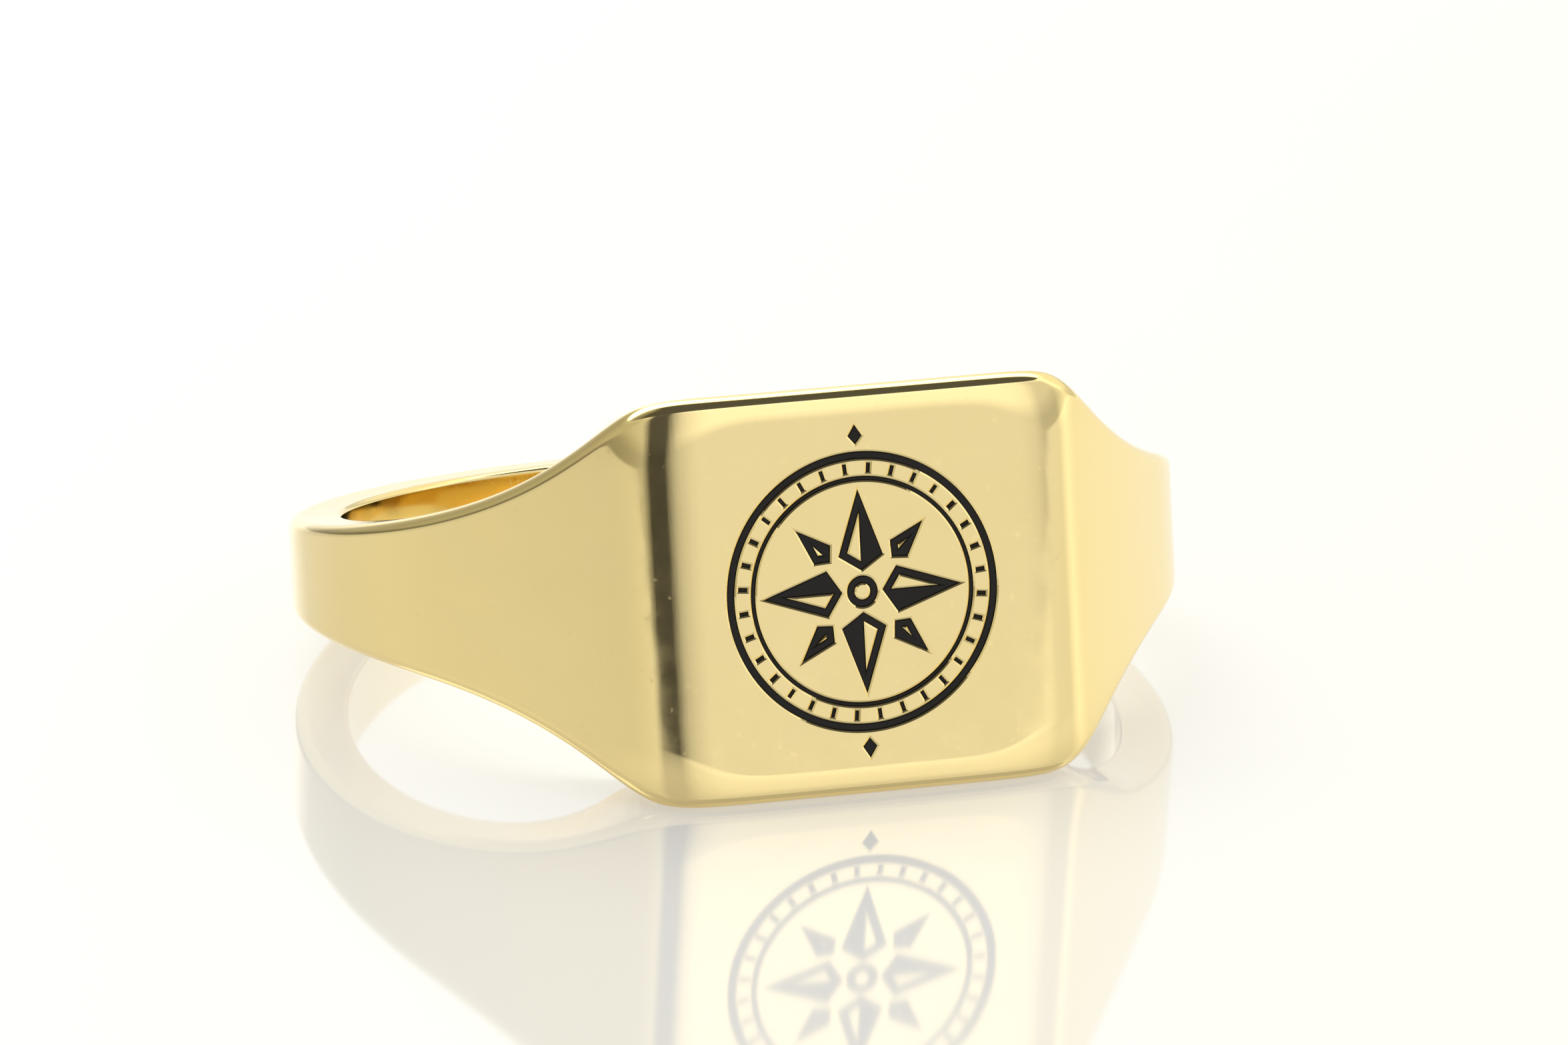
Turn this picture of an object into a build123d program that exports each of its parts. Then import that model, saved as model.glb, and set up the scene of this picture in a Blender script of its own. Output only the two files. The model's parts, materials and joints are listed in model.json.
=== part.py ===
from build123d import *
from math import acos, asin, atan2, cos, degrees, exp, hypot, log, radians, sin, sqrt, tan
import os

# Square-table signet ring in polished yellow gold, with a compass rose in black enamel.
#
# The ring is drawn in its own axes and laid down at the end:
#   X  across the finger, Y  away from the table (the table looks along -Y), Z  along the finger.
# Most formulas use the pair (across, out): across = X, out = -Y, both measured from the axis
# of the finger hole. Angles are counted from the middle of the table, both ways.

# ---- Driving dimensions, mm and degrees ----
BORE_DIAMETER = 17.3         # finger hole
BAND_THICKNESS = 1.2         # radial, from the back up to the shoulders
BACK_WIDTH = 1.88            # band, along the finger, at the back
TABLE_WIDTH = 9.0            # along the finger
TABLE_LENGTH = 9.15          # across the finger, between the virtual shoulder corners
TABLE_HEIGHT = 10.05         # table plane above the hole's axis
SHOULDER_RADIUS = 28.0       # slight crown of the shoulders, seen along the finger
TABLE_END_RADIUS = 1.1       # roll between the table and each shoulder
TABLE_CORNER_BLEND = 0.4     # softness of the table's four corners, seen from the front
RIM_RADIUS = 0.28            # outside edges
BORE_EDGE_RADIUS = 0.12      # comfort edge of the finger hole

TAPER_GAIN = 1.0             # half-width gained by the shoulders over the band
TAPER_POWER = 4.3            # how late that gain sets in
FLARE_GAIN = 3.1             # extra half-width right beside the table
FLARE_ANGLE = 15.5           # over which the flare dies away
SIDE_DRAFT = 12.5            # lean of the head's sides, inwards towards the finger
FAN_ANGLE = 12.0             # over which the sides turn from the head's to the band's, radial and square

HEAD_HALF_ANGLE = 33.0       # cut between the head and a shoulder
SHANK_CUT_ANGLE = 78.0       # cut between a shoulder and the shank
SEAM_THICKNESS = 0.08        # hard-solder film

ENGRAVING_DEPTH = 0.35
ENAMEL_RECESS = 0.03         # enamel surface below the table
STROKE = 0.17                # outlines of the motif
RING_RADIUS = 2.95           # outer enamel ring, to the middle of its stroke
INNER_RING_RADIUS = 2.45
INNER_RING_STROKE = 0.10
TICK_COUNT = 32
TICK_WIDTH = 0.09
TICK_CLEARANCE = 0.08        # gold left at each end of a tick
HUB_RADIUS = 0.26
# Points of the rose: inner end, waist, half-width at the waist and tip, outwards from the centre
LONG_POINT = (0.45, 0.78, 0.50, 2.22)
SHORT_POINT = (0.98, 1.22, 0.27, 2.02)
FINIAL = (3.18, 3.37, 0.16, 3.62)     # the two small diamonds outside the rings

bore_radius = BORE_DIAMETER / 2
band_radius = bore_radius + BAND_THICKNESS
corner_angle = degrees(atan2(TABLE_LENGTH / 2, TABLE_HEIGHT))
CLEAR = 1.0                  # how far tool bodies run past what they cut
LONG = 30.0                  # tool bodies longer than the ring


# ---- The ring's outline and side taper ----
def shoulder_tangent():
    """Angle where the shoulder's arc runs into the band."""
    reach = hypot(TABLE_LENGTH / 2, TABLE_HEIGHT)
    offset = SHOULDER_RADIUS - band_radius
    along = (2 * SHOULDER_RADIUS * band_radius - band_radius**2 - reach**2) / (2 * offset)
    return corner_angle + degrees(acos(along / reach))


tangent_angle = shoulder_tangent()


def polar(radius, angle):
    """(across, out) of a point at an angle from the middle of the table."""
    return radius * sin(radians(angle)), radius * cos(radians(angle))


def outline_radius(angle):
    """Distance from the axis to the outside of the ring, table corners left sharp."""
    if angle < corner_angle:
        return TABLE_HEIGHT / cos(radians(angle))
    if angle > tangent_angle:
        return band_radius
    offset = SHOULDER_RADIUS - band_radius
    swing = radians(angle - tangent_angle)
    return sqrt(SHOULDER_RADIUS**2 - (offset * sin(swing)) ** 2) - offset * cos(swing)


def half_width(angle):
    """Half the ring's size along the finger: band, shoulder taper and flare, under the table's edge."""
    taper = TAPER_GAIN * cos(radians(angle / 2)) ** TAPER_POWER
    flare = FLARE_GAIN * exp(-(angle - corner_angle) / FLARE_ANGLE)
    free = BACK_WIDTH / 2 + taper + flare
    over = (free - TABLE_WIDTH / 2) / TABLE_CORNER_BLEND
    return free - TABLE_CORNER_BLEND * log(1 + exp(over))


def bore_angle(angle):
    """Angle at the finger hole of the side line that starts at this angle of the outline."""
    if angle <= corner_angle:
        return degrees(asin(outline_radius(angle) * sin(radians(angle)) / bore_radius))
    lead = bore_angle(corner_angle) - corner_angle
    return angle + lead * exp(-(angle - corner_angle) / FAN_ANGLE)


def outline():
    """The ring seen along the finger, with the table rolled into the shoulders."""
    corner = polar(outline_radius(corner_angle), corner_angle)
    middle = polar(outline_radius((corner_angle + tangent_angle) / 2), (corner_angle + tangent_angle) / 2)
    foot = polar(band_radius, tangent_angle)
    edges = Line((-corner[0], -corner[1]), (corner[0], -corner[1]))
    for side in (1, -1):
        points = [(side * across, -out) for across, out in (corner, middle, foot)]
        edges += ThreePointArc(*points)
    edges += ThreePointArc((foot[0], -foot[1]), (0, band_radius), (-foot[0], -foot[1]))
    face = make_face(edges)
    return fillet(face.vertices().group_by(Axis.Y)[0], TABLE_END_RADIUS)


def side_section(angle, side):
    """The ring's section along one side line, longer than the metal at both ends."""
    outer = Vector(*polar(outline_radius(angle), angle))
    inner = Vector(*polar(bore_radius, bore_angle(angle)))
    slope = tan(radians(SIDE_DRAFT)) * exp(-max(0, angle - corner_angle) / FAN_ANGLE)
    step = (outer - inner).normalized() * CLEAR
    wide = half_width(angle) + slope * CLEAR
    narrow = half_width(angle) - slope * ((outer - inner).length + CLEAR)
    ends = [(inner - step, narrow), (outer + step, wide), (outer + step, -wide), (inner - step, -narrow)]
    return make_face(Polyline([(side * point.X, -point.Y, z) for point, z in ends], close=True))


def tapered_body():
    """Everything between the ring's two side surfaces."""
    start = degrees(atan2(TABLE_LENGTH / 2 - 1.5, TABLE_HEIGHT))
    count = 18
    angles = [start + (180 - start) * (i / (count - 1)) ** 1.9 for i in range(count)]
    body = loft([side_section(start, 1), side_section(start, -1)])
    for side in (1, -1):
        body += loft([side_section(angle, side) for angle in angles])
    return body


def ring_metal():
    """The whole ring in one piece, before it is cut into the jeweller's pieces."""
    body = extrude(outline(), LONG / 2, both=True) & tapered_body()
    body -= Cylinder(bore_radius, LONG)
    outside = [face for face in body.faces() if is_wall(face) and not is_bore(face)]
    body = fillet(rim_edges(outside), RIM_RADIUS)
    hole = [face for face in body.faces() if is_wall(face) and is_bore(face)]
    return fillet(rim_edges(hole), BORE_EDGE_RADIUS)


def is_wall(face):
    """True for a face that crosses the middle plane, so not one of the two sides."""
    box = face.bounding_box()
    return box.min.Z < -0.1 and box.max.Z > 0.1 and box.size.Z > 1


def is_bore(face):
    """True for a face of the finger hole."""
    point = face.position_at(0.5, 0.5)
    return hypot(point.X, point.Y) < bore_radius + 0.01


def rim_edges(faces):
    """The edges of some walls that run round the ring, along its two sides."""
    return [edge for face in faces for edge in face.edges() if abs(edge.center().Z) > 0.5]


# ---- Cutting the ring into the jeweller's pieces ----
def seam_slab(angle):
    """A thin radial slab, where two pieces are soldered."""
    return Rot(0, 0, angle - 90) * Pos(LONG / 2, 0, 0) * Box(LONG, SEAM_THICKNESS, LONG)


def bench_pieces(metal):
    """Head, shoulders, shank and the solder films between them, by name."""
    pieces = {}
    for side, name in ((1, "right"), (-1, "left")):
        for cut, joint in ((HEAD_HALF_ANGLE, "head"), (SHANK_CUT_ANGLE, "shank")):
            slab = seam_slab(side * cut)
            pieces[f"solder_{joint}_{name}"] = metal & slab
            metal -= slab
    by_depth = metal.solids().sort_by(Axis.Y)
    pieces["head"], pieces["shank"] = Part() + by_depth[0], Part() + by_depth[-1]
    left, right = by_depth[1:-1].sort_by(Axis.X)
    pieces["shoulder_left"], pieces["shoulder_right"] = Part() + left, Part() + right
    return pieces


# ---- The enamelled compass rose ----
def compass_point(inner, waist, half, tip):
    """A kite along +Y whose left half is only outlined."""
    kite = make_face(Polyline((0, inner), (half, waist), (0, tip), (-half, waist), close=True))
    left = Pos(-tip / 2, 0) * Rectangle(tip, 4 * tip)
    return kite - (offset(kite, -STROKE, kind=Kind.INTERSECTION) & left)


def annulus(radius, stroke):
    """A ring of a given stroke, centred on a radius."""
    return Circle(radius + stroke / 2) - Circle(radius - stroke / 2)


def around(shape, count, start=0):
    """Copies of a shape, turned evenly about the centre of the table."""
    return Sketch() + [Rot(0, 0, start + i * 360 / count) * shape for i in range(count)]


def motif():
    """The flat pattern of each enamel piece, by name."""
    low = INNER_RING_RADIUS + INNER_RING_STROKE / 2 + TICK_CLEARANCE
    high = RING_RADIUS - STROKE / 2 - TICK_CLEARANCE
    tick = Pos(0, (low + high) / 2) * Rectangle(TICK_WIDTH, high - low)
    inner, waist, half, tip = FINIAL
    diamond = make_face(Polyline((0, inner), (half, waist), (0, tip), (-half, waist), close=True))
    return {
        "enamel_outer_ring": annulus(RING_RADIUS, STROKE),
        "enamel_inner_ring": annulus(INNER_RING_RADIUS, INNER_RING_STROKE),
        "enamel_ticks": around(tick, TICK_COUNT, 180 / TICK_COUNT),
        "enamel_long_points": around(compass_point(*LONG_POINT), 4),
        "enamel_short_points": around(compass_point(*SHORT_POINT), 4, 45),
        "enamel_hub": annulus(HUB_RADIUS, STROKE),
        "enamel_finials": around(diamond, 2),
    }


def on_table(pattern, top):
    """A pattern cut from the bottom of the engraving up to a height over the table."""
    floor = Plane((0, -TABLE_HEIGHT + ENGRAVING_DEPTH, 0), x_dir=(1, 0, 0), z_dir=(0, -1, 0))
    return extrude(floor * pattern, ENGRAVING_DEPTH + top)


# ---- Lying on its side: (out, down) of the middles of the two rims that touch the floor ----
lean = radians(SIDE_DRAFT)
front_rim = (TABLE_HEIGHT - RIM_RADIUS, TABLE_WIDTH / 2 - RIM_RADIUS * (tan(lean) + 1 / cos(lean)))
back_rim = (band_radius - RIM_RADIUS, BACK_WIDTH / 2 - RIM_RADIUS)
rest_angle = degrees(atan2(front_rim[1] - back_rim[1], front_rim[0] + back_rim[0]))


def resting_place():
    """Turns the ring onto the lower rims of its table and its back, over the origin."""
    turn = radians(rest_angle)
    low = front_rim[0] * sin(turn) - front_rim[1] * cos(turn) - RIM_RADIUS
    front = -front_rim[0] * cos(turn) - front_rim[1] * sin(turn) - RIM_RADIUS
    back = back_rim[0] * cos(turn) + back_rim[1] * sin(turn) + RIM_RADIUS
    return Pos(0, -(front + back) / 2, -low) * Rot(-rest_angle, 0, 0)


def signet_ring():
    """Every piece of the ring where it rests, by name."""
    pieces = bench_pieces(ring_metal())
    for name, pattern in motif().items():
        pieces["head"] -= on_table(pattern, CLEAR)
        pieces[name] = on_table(pattern, -ENAMEL_RECESS)
    return {name: resting_place() * piece for name, piece in pieces.items()}


os.makedirs("parts", exist_ok=True)
for name, piece in signet_ring().items():
    export_step(piece, f"parts/{name}.step")
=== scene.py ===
import json
from math import acos, asin, atan2, cos, degrees, hypot, pi, radians, sin, tan

import bpy
import numpy as np
from mathutils import Matrix, Vector
from mathutils.geometry import delaunay_2d_cdt


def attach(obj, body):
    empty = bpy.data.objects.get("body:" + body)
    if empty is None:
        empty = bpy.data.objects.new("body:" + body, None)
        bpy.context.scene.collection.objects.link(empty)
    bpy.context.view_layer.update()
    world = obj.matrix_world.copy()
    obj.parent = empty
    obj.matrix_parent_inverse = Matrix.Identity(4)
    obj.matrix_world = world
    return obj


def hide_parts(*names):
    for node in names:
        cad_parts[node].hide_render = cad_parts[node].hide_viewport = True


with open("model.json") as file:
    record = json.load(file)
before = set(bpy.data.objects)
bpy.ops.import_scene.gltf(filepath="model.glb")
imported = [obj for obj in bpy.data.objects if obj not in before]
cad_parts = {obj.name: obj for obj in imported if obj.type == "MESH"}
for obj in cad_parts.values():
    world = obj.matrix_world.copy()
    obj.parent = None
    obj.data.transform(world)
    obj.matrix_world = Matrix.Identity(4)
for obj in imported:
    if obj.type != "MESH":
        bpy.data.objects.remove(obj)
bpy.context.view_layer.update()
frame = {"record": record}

# ---------------------------------------------------------------------------
# The ring's own axes: across the finger, out through the table, and along the finger.
# Lengths are millimetres until a mesh is made.
# ---------------------------------------------------------------------------
MM = 0.001
MOUNTS = {mount["name"]: mount for mount in frame["record"]["mounts"]}
BORE, TABLE = MOUNTS["finger_bore"], MOUNTS["table"]
CENTRE = np.array(BORE["pos_m"]) / MM
FINGER = np.array(BORE["axis"]) / np.linalg.norm(BORE["axis"])
OUT = np.array(TABLE["axis"]) / np.linalg.norm(TABLE["axis"])
ACROSS = np.cross(FINGER, OUT)

BORE_RADIUS = BORE["dims"]["r_mm"]
TABLE_HEIGHT = float((np.array(TABLE["pos_m"]) / MM - CENTRE) @ OUT)
BAND_THICKNESS = 1.2
BAND_RADIUS = BORE_RADIUS + BAND_THICKNESS
BACK_WIDTH = 1.88
TABLE_WIDTH = 9.0
TABLE_LENGTH = 9.15
SHOULDER_RADIUS = 28.0
TABLE_END_BLEND = 0.30       # softness of the roll from table to shoulder
TABLE_CORNER_BLEND = 0.4     # softness of the table's corners, seen from the front
RIM_RADIUS = 0.28
BORE_EDGE_RADIUS = 0.12
LEAST_COSINE = 0.3           # keeps the table's line finite at the sides and the back
CROWN_MARGIN = 0.72          # the outside curves down over this much beside each rim
CORNER_MARGIN = 0.6          # and over this much more at the table's corners
CORNER_SPREAD = 6.0          # degrees, how far that reaches along the ring
CROWN_SLOPE = 0.28           # how steep it gets at the rim
CROWN_FADE = 4.5             # degrees, over which it dies away along the shoulders

TAPER_GAIN, TAPER_POWER = 1.0, 4.3               # slow widening from the back to the front
FLARE_GAIN, FLARE_ANGLE = 3.1, 15.5              # quick widening of the shoulders to the table
SIDE_DRAFT, FAN_ANGLE = radians(12.5), 12.0      # lean of the head's sides, and how soon it fades

HEAD_HALF_ANGLE = 33.0
SHANK_CUT_ANGLE = 78.0
SEAM_THICKNESS = 0.08

# The engraving and its enamel
ENGRAVING_DEPTH = 0.35
ENAMEL_RECESS = 0.03
LIP_WIDTH, LIP_DEPTH = 0.035, 0.025              # bevel round every groove
MENISCUS_WIDTH, MENISCUS_DEPTH = 0.035, 0.02     # rounded edge of the enamel
STROKE = 0.17
RING_RADIUS = 2.95
INNER_RING_RADIUS, INNER_RING_STROKE = 2.45, 0.10
TICK_COUNT, TICK_WIDTH, TICK_CLEARANCE = 32, 0.09, 0.08
HUB_RADIUS = 0.26
# Points of the rose: inner end, waist, half-width at the waist and tip, outwards from the centre
LONG_POINT = (0.45, 0.78, 0.50, 2.22)
SHORT_POINT = (0.98, 1.22, 0.27, 2.02)
FINIAL = (3.18, 3.37, 0.16, 3.62)

# Fineness of the meshes
STATION_STEP = 0.5           # degrees between sections
CROWN_STEPS, RIM_STEPS, WALL_STEPS, EDGE_STEPS = 9, 14, 6, 7
CIRCLE_STEPS = 144
PATCH_HALF_LENGTH = 3.3      # half the flat patch that carries the engraving, across the finger
WELD = 1e-7                  # points closer than this count as one when the patch is triangulated
KEEP_INSIDE = 1              # Blender's triangulation mode that keeps what the outermost curve bounds

CORNER_ANGLE = degrees(atan2(TABLE_LENGTH / 2, TABLE_HEIGHT))
HALF_SEAM = degrees(SEAM_THICKNESS / 2 / BAND_RADIUS)


def in_row(points):
    """Ring points (across, out, along), in millimetres, as row points in metres."""
    return (CENTRE + np.asarray(points, float) @ np.array([ACROSS, OUT, FINGER])) * MM


# ---------------------------------------------------------------------------
# The ring's outline and taper, as functions of the angle from the middle of the table
# ---------------------------------------------------------------------------
def shoulder_tangent():
    """Angle where the shoulder's arc runs into the band."""
    reach = hypot(TABLE_LENGTH / 2, TABLE_HEIGHT)
    offset = SHOULDER_RADIUS - BAND_RADIUS
    along = (2 * SHOULDER_RADIUS * BAND_RADIUS - BAND_RADIUS**2 - reach**2) / (2 * offset)
    return CORNER_ANGLE + degrees(acos(along / reach))


TANGENT_ANGLE = shoulder_tangent()


def outline_radius(angle):
    """Distance from the axis to the outside, with a soft roll between table and shoulder."""
    offset = SHOULDER_RADIUS - BAND_RADIUS
    swing = radians(min(angle - TANGENT_ANGLE, 0))
    shoulder = (SHOULDER_RADIUS**2 - (offset * sin(swing)) ** 2) ** 0.5 - offset * cos(swing)
    table = TABLE_HEIGHT / max(cos(radians(angle)), LEAST_COSINE)
    return -TABLE_END_BLEND * np.logaddexp(-shoulder / TABLE_END_BLEND, -table / TABLE_END_BLEND)


def half_width(angle):
    """Half the ring's size along the finger, out at the table's level."""
    taper = TAPER_GAIN * cos(radians(angle / 2)) ** TAPER_POWER
    flare = FLARE_GAIN * np.exp(-(angle - CORNER_ANGLE) / FLARE_ANGLE)
    free = BACK_WIDTH / 2 + taper + flare
    return free - TABLE_CORNER_BLEND * np.logaddexp(0, (free - TABLE_WIDTH / 2) / TABLE_CORNER_BLEND)


def bore_angle(angle):
    """Angle at the finger hole of the side line that starts at this angle outside."""
    if angle <= CORNER_ANGLE:
        return degrees(asin(TABLE_HEIGHT * tan(radians(angle)) / BORE_RADIUS))
    lead = degrees(asin(TABLE_LENGTH / 2 / BORE_RADIUS)) - CORNER_ANGLE
    return angle + lead * np.exp(-(angle - CORNER_ANGLE) / FAN_ANGLE)


def crown_margin(angle):
    """How far from the rim the outside starts to curve down."""
    return CROWN_MARGIN + CORNER_MARGIN * np.exp(-((angle - CORNER_ANGLE) / CORNER_SPREAD) ** 2)


def upper_profile(angle, depth):
    """Half of a section, as (height over the hole, along): crown, rim, side and edge of the hole."""
    width, margin = half_width(angle), crown_margin(angle)
    draft = SIDE_DRAFT * np.exp(-max(0, angle - CORNER_ANGLE) / FAN_ANGLE)
    lean = np.array([tan(draft), 1 / cos(draft)])
    rim = np.array([depth - RIM_RADIUS, width - RIM_RADIUS * lean.sum()])
    edge = np.array([BORE_EDGE_RADIUS, width - depth * lean[0] + BORE_EDGE_RADIUS * (lean[0] - lean[1])])

    flat = width - margin
    crown = np.column_stack([np.full(CROWN_STEPS, depth),
                             np.linspace(flat, rim[1], CROWN_STEPS + 1)[:-1]])
    turns = np.linspace(0, pi / 2 + draft, RIM_STEPS + 1)
    rounded = rim + RIM_RADIUS * np.column_stack([np.cos(turns), np.sin(turns)])
    turns = np.linspace(pi / 2 + draft, pi, EDGE_STEPS + 1)
    hole_edge = edge + BORE_EDGE_RADIUS * np.column_stack([np.cos(turns), np.sin(turns)])
    wall = np.linspace(rounded[-1], hole_edge[0], WALL_STEPS + 1)[1:-1]
    profile = np.vstack([crown, rounded, wall, hole_edge])

    slope = CROWN_SLOPE * np.exp(-(max(0, angle - CORNER_ANGLE) / CROWN_FADE) ** 2)
    fall = slope * margin / 2 * np.clip((profile[:, 1] - flat) / margin, 0, 1) ** 2
    profile[:, 0] -= fall * np.clip(profile[:, 0] / depth, 0, 1)
    return profile


def section_loop(angle):
    """One closed section of the ring, as ring points, from the upper edge of the outside's flat
    middle, over the upper side, through the hole and back under the lower side."""
    signed = (angle + 180) % 360 - 180
    side, size = (-1, -signed) if signed < 0 else (1, signed)
    outer_turn, hole_turn = radians(size), radians(bore_angle(size))
    outer = outline_radius(size) * np.array([sin(outer_turn), cos(outer_turn)])
    inner = BORE_RADIUS * np.array([sin(hole_turn), cos(hole_turn)])
    depth = np.linalg.norm(outer - inner)

    upper = upper_profile(size, depth)
    loop = np.vstack([upper, upper[::-1] * (1, -1)])
    level = inner + loop[:, :1] * (outer - inner) / depth
    return np.column_stack([side * level[:, 0], level[:, 1], loop[:, 1]])


def section_grid(angles):
    """Sections at some angles with smooth normals: two arrays, station by point by axis."""
    step = angles[1] - angles[0]
    wide = np.array([section_loop(a) for a in [angles[0] - step, *angles, angles[-1] + step]])
    ahead = np.roll(wide, -1, axis=1)
    quads = np.cross(ahead[1:] - wide[:-1], wide[1:] - ahead[:-1])
    quads /= np.linalg.norm(quads, axis=-1, keepdims=True)
    normals = quads[:-1] + quads[1:]
    normals = normals + np.roll(normals, 1, axis=1)
    return wide[1:-1], normals / np.linalg.norm(normals, axis=-1, keepdims=True)


# ---------------------------------------------------------------------------
# Meshes
# ---------------------------------------------------------------------------
class Shape:
    """Vertices, faces and a normal for each corner, gathered before a mesh is made."""

    def __init__(self):
        self.points, self.faces, self.normals = [], [], []

    def add_points(self, points):
        """Adds ring points and returns their numbers."""
        start = len(self.points)
        self.points += [tuple(p) for p in points]
        return list(range(start, len(self.points)))

    def add_level(self, curves, height):
        """Adds some table curves, laid end to end, at a height. Returns the points' numbers."""
        return self.add_points([(x, height, z) for x, z in np.vstack(curves)])

    def add_face(self, corners, normals=None):
        """Adds a face. Without normals it is shaded flat."""
        if normals is None:
            ring = np.array([self.points[i] for i in corners])
            flat = np.cross(np.roll(ring, -1, axis=0) - ring[0], ring - ring[0]).sum(axis=0)
            normals = [flat / np.linalg.norm(flat)] * len(corners)
        self.faces.append(tuple(corners))
        self.normals += [tuple(n) for n in normals]

    def add_band(self, curves, lower, upper):
        """Joins two levels of the same table curves."""
        start = 0
        for curve in curves:
            n = len(curve)
            for i in range(n):
                a, b = start + i, start + (i + 1) % n
                self.add_face([lower[a], lower[b], upper[b], upper[a]])
            start += n

    def make(self, name):
        """The Blender object, in the row frame."""
        mesh = bpy.data.meshes.new(name)
        mesh.from_pydata(in_row(self.points).tolist(), [], self.faces)
        mesh.shade_smooth()
        normals = np.array(self.normals) @ np.array([ACROSS, OUT, FINGER])
        mesh.normals_split_custom_set(normals.tolist())
        obj = bpy.data.objects.new(name, mesh)
        bpy.context.scene.collection.objects.link(obj)
        return obj


def ring_stretch(shape, start, end, open_angle=0.0):
    """Skins the ring between two angles, and leaves the outside's flat middle open up to an angle
    either side of the table's middle. Returns the stations and their rows of point numbers."""
    count = max(2, round((end - start) / STATION_STEP) + 1)
    angles = list(np.linspace(start, end, count))
    grid, normals = section_grid(angles)
    rows = [shape.add_points(loop) for loop in grid]
    size = len(rows[0])
    for i in range(count - 1):
        is_open = abs(angles[i] + angles[i + 1]) / 2 < open_angle
        for j in range(size - 1 if is_open else size):
            k = (j + 1) % size
            corners = ((i, j), (i + 1, j), (i + 1, k), (i, k))
            shape.add_face([rows[a][b] for a, b in corners], [normals[a][b] for a, b in corners])
    shape.add_face(rows[0])
    shape.add_face(rows[-1][::-1])
    return angles, rows


def gold_piece(name, start, end):
    """A plain stretch of the ring between two angles."""
    shape = Shape()
    ring_stretch(shape, start, end)
    return shape.make(name)


# ---------------------------------------------------------------------------
# The compass rose, as closed curves on the table: outlines run anticlockwise, holes clockwise
# ---------------------------------------------------------------------------
def circle(radius):
    turn = np.arange(CIRCLE_STEPS) * 2 * pi / CIRCLE_STEPS
    return radius * np.column_stack([np.cos(turn), np.sin(turn)])


def annulus(radius, stroke):
    return [circle(radius + stroke / 2), circle(radius - stroke / 2)[::-1]]


def kite(inner, waist, half, tip):
    return np.array([(0, inner), (half, waist), (0, tip), (-half, waist)], float)


def grow(curve, distance):
    """The curve moved to its right by a distance, with its corners kept sharp."""
    before = curve - np.roll(curve, 1, axis=0)
    after = np.roll(curve, -1, axis=0) - curve
    sides = [np.column_stack([v[:, 1], -v[:, 0]]) / np.linalg.norm(v, axis=1, keepdims=True)
             for v in (before, after)]
    both = sides[0] + sides[1]
    return curve + distance * both * 2 / (both * both).sum(axis=1, keepdims=True)


def compass_point(inner, waist, half, tip):
    """A kite whose left half is only outlined: the kite, and the window in its left half."""
    outside = kite(inner, waist, half, tip)
    bottom, _, top, left = grow(outside, -STROKE)
    return [outside, np.array([bottom, left, top])]


def around(curves, count, start=0.0):
    """Copies of some curves, turned evenly about the centre."""
    copies = []
    for i in range(count):
        turn = start + i * 2 * pi / count
        spin = np.array([(cos(turn), sin(turn)), (-sin(turn), cos(turn))])
        copies += [curve @ spin for curve in curves]
    return copies


def motif():
    """The curves of each enamel piece, by the name of its CAD node."""
    low = INNER_RING_RADIUS + INNER_RING_STROKE / 2 + TICK_CLEARANCE
    high = RING_RADIUS - STROKE / 2 - TICK_CLEARANCE
    half = TICK_WIDTH / 2
    tick = np.array([(-half, low), (half, low), (half, high), (-half, high)])
    return {
        "enamel_outer_ring": annulus(RING_RADIUS, STROKE),
        "enamel_inner_ring": annulus(INNER_RING_RADIUS, INNER_RING_STROKE),
        "enamel_ticks": around([tick], TICK_COUNT, pi / TICK_COUNT),
        "enamel_long_points": around(compass_point(*LONG_POINT), 4),
        "enamel_short_points": around(compass_point(*SHORT_POINT), 4, pi / 4),
        "enamel_hub": annulus(HUB_RADIUS, STROKE),
        "enamel_finials": around([kite(*FINIAL)], 2),
    }


def inside(points, curves):
    """Whether each point is in the area that the curves bound, by the even-odd rule."""
    x, y = points[:, :1], points[:, 1:]
    crossings = np.zeros(len(points), int)
    for curve in curves:
        a, b = curve, np.roll(curve, -1, axis=0)
        spans = (a[:, 1] > y) != (b[:, 1] > y)
        rise = np.where(b[:, 1] == a[:, 1], 1, b[:, 1] - a[:, 1])
        at = a[:, 0] + (y - a[:, 1]) * (b[:, 0] - a[:, 0]) / rise
        crossings += (spans & (x < at)).sum(axis=1)
    return crossings % 2 == 1


def triangulate(curves):
    """Triangles over everything inside the outermost curve, with every curve kept as an edge: a
    list of number triples into the curves' points laid end to end, and the triangles' middles."""
    points = np.vstack(curves)
    edges, start = [], 0
    for curve in curves:
        n = len(curve)
        edges += [(start + i, start + (i + 1) % n) for i in range(n)]
        start += n
    corners = [Vector(p) for p in points]
    _, _, faces, sources, _, _ = delaunay_2d_cdt(corners, edges, [], KEEP_INSIDE, WELD)
    origin = [numbers[0] for numbers in sources]
    triangles = []
    for face in faces:
        tri = [origin[i] for i in face]
        (ax, az), (bx, bz), (cx, cz) = points[tri]
        leftward = (bx - ax) * (cz - az) > (bz - az) * (cx - ax)
        triangles.append(tri if leftward else tri[::-1])
    return triangles, points[triangles].mean(axis=1)


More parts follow.
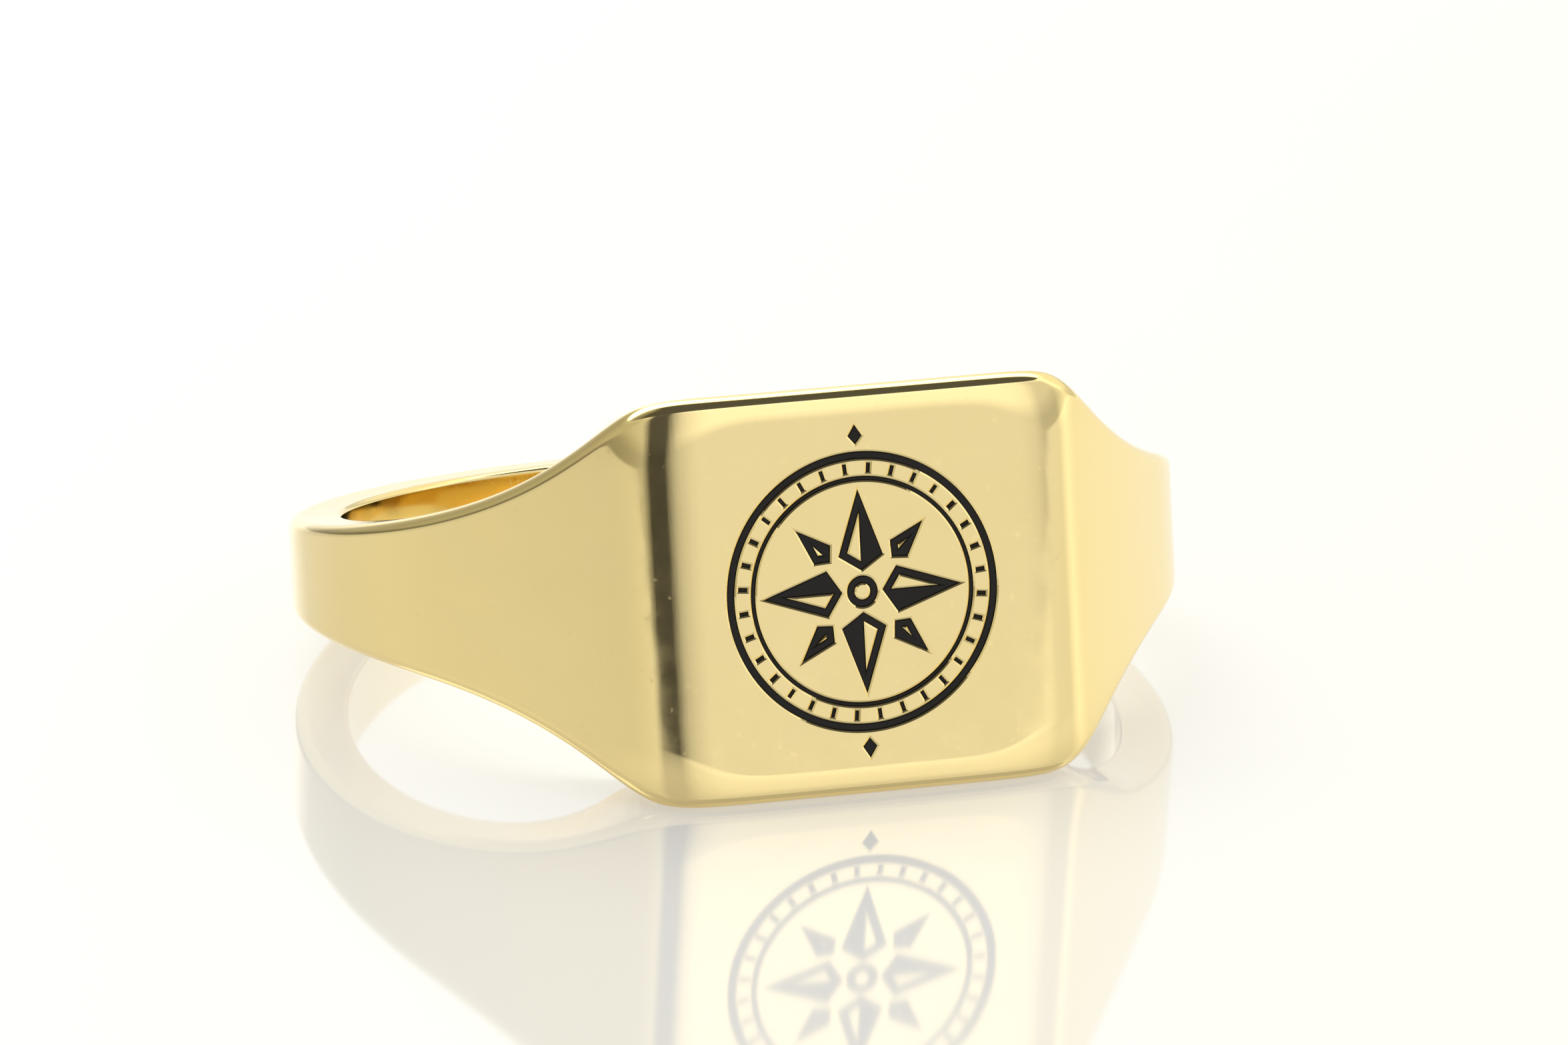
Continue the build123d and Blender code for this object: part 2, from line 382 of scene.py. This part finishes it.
def engraved_head(curves):
    """The head, with its table's flat middle replaced by a patch that holds the grooves."""
    shape = Shape()
    end = HEAD_HALF_ANGLE - HALF_SEAM
    patch_angle = degrees(atan2(PATCH_HALF_LENGTH, TABLE_HEIGHT))
    angles, rows = ring_stretch(shape, -end, end, patch_angle)
    halfway = [(a + b) / 2 for a, b in zip(angles, angles[1:])]
    first = next(i for i, angle in enumerate(halfway) if abs(angle) < patch_angle)
    stations = range(first, len(angles) - first)
    border = [rows[i][-1] for i in stations] + [rows[i][0] for i in reversed(stations)]
    border_curve = np.array([(shape.points[i][0], shape.points[i][2]) for i in border])

    lips = [grow(curve, LIP_WIDTH) for curve in curves]
    triangles, middles = triangulate([border_curve, *lips, *curves])
    level = border + shape.add_level(lips, TABLE_HEIGHT)
    wall_top = shape.add_level(curves, TABLE_HEIGHT - LIP_DEPTH)
    floor = shape.add_level(curves, TABLE_HEIGHT - ENGRAVING_DEPTH)
    surface = level + wall_top
    for tri, in_groove in zip(triangles, inside(middles, curves)):
        if in_groove:
            shape.add_face([floor[i - len(level)] for i in tri])
        else:
            is_table = max(tri) < len(level)
            shape.add_face([surface[i] for i in tri], [(0, 1, 0)] * 3 if is_table else None)
    shape.add_band(curves, wall_top, floor)
    return shape.make("ring_head")


def enamel_piece(name, curves):
    """Enamel filling some grooves, its surface rounded down where it meets the gold."""
    shape = Shape()
    top = TABLE_HEIGHT - ENAMEL_RECESS
    insets = [grow(curve, -MENISCUS_WIDTH) for curve in curves]
    bottom = shape.add_level(curves, TABLE_HEIGHT - ENGRAVING_DEPTH)
    shore = shape.add_level(curves, top - MENISCUS_DEPTH)
    surface = shape.add_level(insets, top)
    for outlines, numbers, turn in ((curves, bottom, -1), (insets, surface, 1)):
        triangles, middles = triangulate(outlines)
        for tri, wanted in zip(triangles, inside(middles, outlines)):
            if wanted:
                shape.add_face([numbers[i] for i in tri[::turn]])
    shape.add_band(curves, bottom, shore)
    shape.add_band(curves, shore, surface)
    return shape.make(name)


# ---------------------------------------------------------------------------
# Materials
# ---------------------------------------------------------------------------
class Tree:
    """A node tree with short calls for adding and linking nodes."""

    def __init__(self, owner):
        owner.use_nodes = True
        self.tree = owner.node_tree
        self.tree.nodes.clear()

    def add(self, kind, links=(), **settings):
        """Adds a node. Each link is (input, output or plain value)."""
        node = self.tree.nodes.new(kind)
        for name, value in settings.items():
            setattr(node, name, value)
        for name, value in links:
            if isinstance(value, bpy.types.NodeSocket):
                self.tree.links.new(value, node.inputs[name])
            else:
                node.inputs[name].default_value = value
        return node

    def coordinates(self):
        return self.add("ShaderNodeTexCoord").outputs["Object"]

    def noise(self, where, scale, detail=2.0, roughness=0.5):
        """Noise with about this many features to the metre."""
        links = [("Vector", where), ("Scale", scale), ("Detail", detail), ("Roughness", roughness)]
        return self.add("ShaderNodeTexNoise", links).outputs["Fac"]

    def stretched(self, where, turn, scale):
        links = [("Vector", where), ("Rotation", turn), ("Scale", scale)]
        return self.add("ShaderNodeMapping", links).outputs["Vector"]

    def math(self, operation, a, b=0.0):
        return self.add("ShaderNodeMath", [(0, a), (1, b)], operation=operation).outputs[0]

    def remap(self, value, start, end, low, high):
        """The value's range from start to end, stretched to run from low to high."""
        links = [("Value", value), ("From Min", start), ("From Max", end), ("To Min", low), ("To Max", high)]
        return self.add("ShaderNodeMapRange", links).outputs["Result"]

    def mix(self, share, first, second):
        links = [("Factor", share), ("A", first), ("B", second)]
        return self.add("ShaderNodeMix", links, data_type="RGBA").outputs["Result"]

    def bump(self, height, distance, below=None):
        links = [("Height", height), ("Distance", distance)]
        links += [("Normal", below)] if below else []
        return self.add("ShaderNodeBump", links).outputs["Normal"]

    def profile(self, angle, stops):
        """A brightness that follows (angle, brightness) stops."""
        low, high = stops[0][0], stops[-1][0]
        peak = max(value for _, value in stops)
        node = self.add("ShaderNodeValToRGB", [("Fac", self.remap(angle, low, high, 0.0, 1.0))])
        elements = node.color_ramp.elements
        while len(elements) < len(stops):
            elements.new(0.5)
        for element, (stop, value) in zip(elements, stops):
            element.position = (stop - low) / (high - low)
            element.color = (value / peak, value / peak, value / peak, 1)
        return self.math("MULTIPLY", node.outputs["Color"], peak)

    def surface(self, links):
        shader = self.add("ShaderNodeBsdfPrincipled", links)
        self.add("ShaderNodeOutputMaterial", [("Surface", shader.outputs[0])])


GOLD_TINTS = (0.92, 0.742, 0.350, 1), (0.93, 0.760, 0.375, 1)
SOLDER_TINTS = (0.92, 0.745, 0.357, 1), (0.93, 0.763, 0.381, 1)
ENAMEL_TINTS = (0.006, 0.005, 0.004, 1), (0.014, 0.012, 0.009, 1)
FLOOR_TINTS = (0.47, 0.47, 0.475, 1), (0.48, 0.48, 0.49, 1)

# Noise scales are features to the metre, and the heights of the relief are metres.
NOISE_RANGE = (0.3, 0.7)                          # most of a noise's values lie in this range
GOLD_DRIFT_SCALE = 450.0
HAZE_SCALE, HAZE_ROUGHNESS = 1600.0, (0.05, 0.11)
SPECK_SCALE, SPECK_RANGE, SPECK_ROUGHNESS = 5200.0, (0.66, 0.72), (0.0, 0.12)
HAIRLINE_TURN, HAIRLINE_SCALE, HAIRLINE_HEIGHT = (0.3, 0.9, 0.5), (9000.0, 700.0, 700.0), 6e-7
WAVE_SCALE, WAVE_HEIGHT = 650.0, 6e-6
ENAMEL_DRIFT_SCALE = 1200.0
DULLING_SCALE, DULLING_ROUGHNESS = 9000.0, (0.22, 0.4)
PEEL_SCALE, PEEL_HEIGHT = 4000.0, 6e-7
ENAMEL_SPECULAR = 0.22
FLOOR_DRIFT_SCALE = 40.0
FLOOR_ROUGHNESS, FLOOR_IOR, FLOOR_GLOW = 0.06, 2.4, 0.36


def gold_material(name, tints):
    """Polished gold: faint colour drift, a wavy hand polish, hairlines, and haze in worn specks."""
    material = bpy.data.materials.new(name)
    tree = Tree(material)
    where = tree.coordinates()
    colour = tree.mix(tree.noise(where, GOLD_DRIFT_SCALE), *tints)
    haze_noise = tree.noise(where, HAZE_SCALE, detail=5.0, roughness=0.65)
    haze = tree.remap(haze_noise, *NOISE_RANGE, *HAZE_ROUGHNESS)
    specks = tree.remap(tree.noise(where, SPECK_SCALE, detail=3.0), *SPECK_RANGE, *SPECK_ROUGHNESS)
    stretched = tree.stretched(where, HAIRLINE_TURN, HAIRLINE_SCALE)
    hairlines = tree.noise(stretched, 1.0, detail=3.0, roughness=0.7)
    waves = tree.bump(tree.noise(where, WAVE_SCALE, detail=1.0), WAVE_HEIGHT)
    tree.surface([("Base Color", colour), ("Metallic", 1.0), ("Roughness", tree.math("ADD", haze, specks)),
                  ("Normal", tree.bump(hairlines, HAIRLINE_HEIGHT, waves))])
    return material


def enamel_material():
    """Black vitreous enamel: a fused gloss with slight orange peel and pinpoint dulling."""
    material = bpy.data.materials.new("black_enamel_gloss")
    tree = Tree(material)
    where = tree.coordinates()
    dulling = tree.remap(tree.noise(where, DULLING_SCALE, detail=4.0), *NOISE_RANGE, *DULLING_ROUGHNESS)
    tree.surface([("Base Color", tree.mix(tree.noise(where, ENAMEL_DRIFT_SCALE), *ENAMEL_TINTS)),
                  ("Roughness", dulling), ("Specular IOR Level", ENAMEL_SPECULAR),
                  ("Normal", tree.bump(tree.noise(where, PEEL_SCALE), PEEL_HEIGHT))])
    return material


def floor_material():
    """Glossy pale acrylic, lit a little from below."""
    material = bpy.data.materials.new("pale_acrylic")
    tree = Tree(material)
    drift = tree.noise(tree.coordinates(), FLOOR_DRIFT_SCALE)
    tree.surface([("Base Color", tree.mix(drift, *FLOOR_TINTS)),
                  ("Roughness", FLOOR_ROUGHNESS), ("IOR", FLOOR_IOR),
                  ("Emission Color", (1, 1, 1, 1)), ("Emission Strength", FLOOR_GLOW)])
    return material


# ---------------------------------------------------------------------------
# The ring
# ---------------------------------------------------------------------------
def place(piece, node, material):
    """Puts a new piece on the ring's one body, in place of its CAD node."""
    piece.data.materials.append(material)
    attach(piece, "root")
    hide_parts(node)


def build_ring():
    gold = gold_material("polished_gold", GOLD_TINTS)
    solder = gold_material("polished_gold_solder", SOLDER_TINTS)
    enamel = enamel_material()
    rose = motif()

    place(engraved_head([curve for curves in rose.values() for curve in curves]), "head", gold)
    near, far = HEAD_HALF_ANGLE + HALF_SEAM, SHANK_CUT_ANGLE - HALF_SEAM
    stretches = {
        "shoulder_left": (-far, -near),
        "shoulder_right": (near, far),
        "shank": (SHANK_CUT_ANGLE + HALF_SEAM, 360 - SHANK_CUT_ANGLE - HALF_SEAM),
    }
    for node, (start, end) in stretches.items():
        place(gold_piece("ring_" + node, start, end), node, gold)

    for side, name in ((1, "right"), (-1, "left")):
        for joint, cut in (("head", HEAD_HALF_ANGLE), ("shank", SHANK_CUT_ANGLE)):
            film = gold_piece(f"film_{joint}_{name}", side * cut - HALF_SEAM, side * cut + HALF_SEAM)
            place(film, f"solder_{joint}_{name}", solder)

    for node, curves in rose.items():
        place(enamel_piece(node.replace("enamel", "inlay"), curves), node, enamel)


# ---------------------------------------------------------------------------
# Floor, light and camera. Bearings are degrees from the front (-Y), towards +X.
# ---------------------------------------------------------------------------
FLOOR_HALF = 1.5             # metres

# The light tent, as (angle, brightness) stops. The wall's brightness and that of the bank high on
# its left follow the bearing, and are shared out by height. The ceiling's follows the angle from
# the front horizon, over the top, to the back.
WALL = [(-180, 1.05), (-163, 0.34), (-138, 0.18), (-97, 0.17), (-60, 0.42), (-44, 0.52), (-34, 0.07),
        (-13, 0.07), (-2, 0.60), (10, 0.89), (26, 0.89), (38, 0.80), (50, 0.57), (76, 0.57), (90, 1.10),
        (102, 0.78), (155, 0.72), (180, 1.05)]
WALL_SHARE = [(-5, 1.0), (5, 1.0), (13, 1.40), (36, 1.45), (39, 1.9), (42, 1.9), (44, 0.0)]
CEILING = [(98, 0.1), (106, 3.1)]
CEILING_SHARE = [(42, 0.0), (44, 1.0)]
LEFT_BANK = [(-175, 0.0), (-150, 0.12), (-95, 0.30), (-62, 0.0)]
LEFT_BANK_SHARE = [(3, 0.0), (12, 1.0), (43, 1.0), (45, 1.2), (70, 1.2), (80, 0.0)]
WARMTH = [(-180, 0.0), (-150, 0.7), (-130, 1.0), (-60, 1.0), (-20, 0.0), (60, 0.0), (100, 0.9), (155, 0.9),
          (180, 0.0)]
NEUTRAL_LIGHT, WARM_LIGHT = (1.0, 1.0, 1.0, 1), (1.0, 0.97, 0.80, 1)

CAMERA_BEARING, CAMERA_RISE = -16.82, 17.18
CAMERA_DISTANCE = 254.5
CAMERA_LENS, SENSOR_WIDTH = 261.7, 36.0
AIM_RIGHT, AIM_UP = 1.17, 0.39       # from the middle of the finger hole, to frame the ring
CLIP_START, CLIP_END = 0.01, 10.0    # metres


def build_floor():
    mesh = bpy.data.meshes.new("floor")
    corners = [(-1, -1), (1, -1), (1, 1), (-1, 1)]
    mesh.from_pydata([(x * FLOOR_HALF, y * FLOOR_HALF, 0) for x, y in corners], [], [(0, 1, 2, 3)])
    mesh.materials.append(floor_material())
    floor = bpy.data.objects.new("floor", mesh)
    bpy.context.scene.collection.objects.link(floor)


def build_light():
    """A white light tent with a dark gap at the front left, and a ceiling lit towards the back."""
    world = bpy.data.worlds.new("light_tent")
    bpy.context.scene.world = world
    tree = Tree(world)
    direction = tree.add("ShaderNodeTexCoord").outputs["Generated"]
    right, back, up = tree.add("ShaderNodeSeparateXYZ", [("Vector", direction)]).outputs
    front = tree.math("MULTIPLY", back, -1.0)
    bearing = tree.math("DEGREES", tree.math("ARCTAN2", right, front))
    height = tree.math("DEGREES", tree.math("ARCSINE", up))
    arch = tree.math("DEGREES", tree.math("ARCTAN2", up, front))
    wall = tree.math("MULTIPLY", tree.profile(bearing, WALL), tree.profile(height, WALL_SHARE))
    ceiling = tree.math("MULTIPLY", tree.profile(arch, CEILING), tree.profile(height, CEILING_SHARE))
    bank = tree.math("MULTIPLY", tree.profile(bearing, LEFT_BANK), tree.profile(height, LEFT_BANK_SHARE))
    glow = tree.math("ADD", tree.math("ADD", wall, ceiling), bank)
    colour = tree.mix(tree.profile(bearing, WARMTH), NEUTRAL_LIGHT, WARM_LIGHT)
    background = tree.add("ShaderNodeBackground", [("Color", colour), ("Strength", glow)])
    tree.add("ShaderNodeOutputWorld", [("Surface", background.outputs[0])])


def build_camera():
    turn, rise = radians(CAMERA_BEARING), radians(CAMERA_RISE)
    towards = np.array([sin(turn) * cos(rise), -cos(turn) * cos(rise), sin(rise)])
    right = np.array([cos(turn), sin(turn), 0])
    up = np.cross(towards, right)
    spot = CENTRE + AIM_RIGHT * right + AIM_UP * up + CAMERA_DISTANCE * towards
    data = bpy.data.cameras.new("camera")
    data.lens, data.sensor_width = CAMERA_LENS, SENSOR_WIDTH
    data.clip_start, data.clip_end = CLIP_START, CLIP_END
    camera = bpy.data.objects.new("camera", data)
    axes = Matrix((right, up, towards)).transposed().to_4x4()
    camera.matrix_world = Matrix.Translation(spot * MM) @ axes
    bpy.context.scene.collection.objects.link(camera)
    bpy.context.scene.camera = camera


build_ring()
build_floor()
build_light()
build_camera()
bpy.context.scene.view_settings.view_transform = "Standard"
